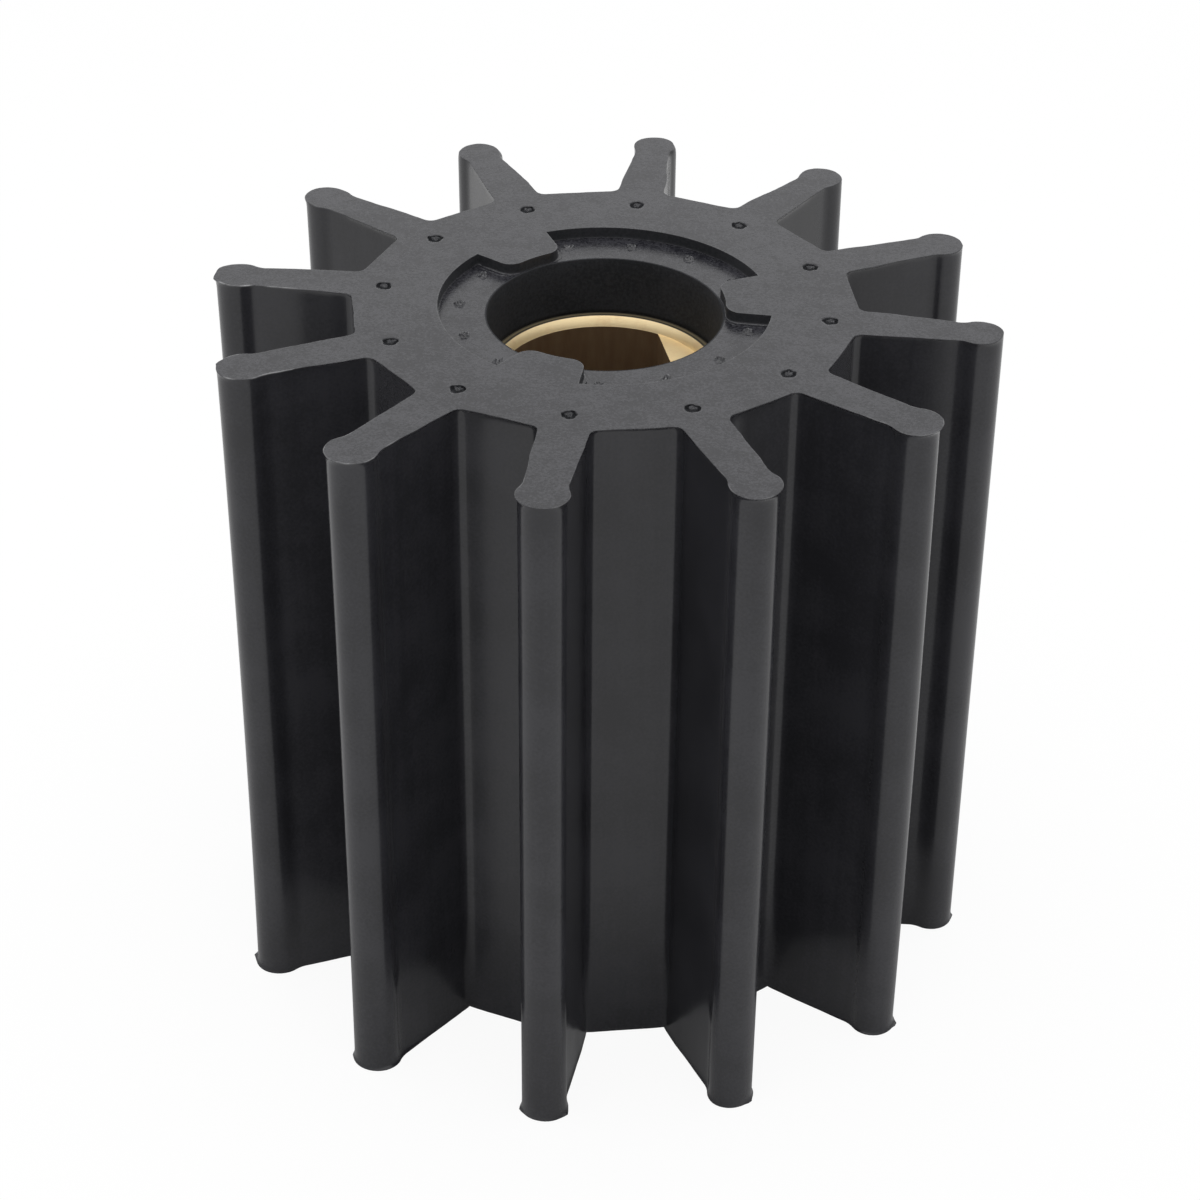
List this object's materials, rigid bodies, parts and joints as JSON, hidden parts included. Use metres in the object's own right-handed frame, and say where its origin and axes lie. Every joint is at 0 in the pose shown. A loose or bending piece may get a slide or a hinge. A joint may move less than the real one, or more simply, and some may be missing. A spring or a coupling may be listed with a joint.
{
  "type": "rubber pump impeller",
  "caption": "Moulded rubber pump impeller with straight beaded vanes round a hub, bonded to a brass insert with a D-shaped shaft bore.",
  "frame": {"origin": "middle of the lower end face, on the shaft axis", "axes": "+Z along the shaft axis towards the end face with the recess and lugs, +X along the middle of one vane"},
  "size_m": [0.095, 0.095, 0.088],
  "materials": {
    "rubber": "moulded, dull, slightly mottled",
    "brass": "turned, dulled"
  },
  "bodies": {
    "root": {"rubber_body": "rubber", "brass_insert": "brass"}
  },
  "joints": []
}
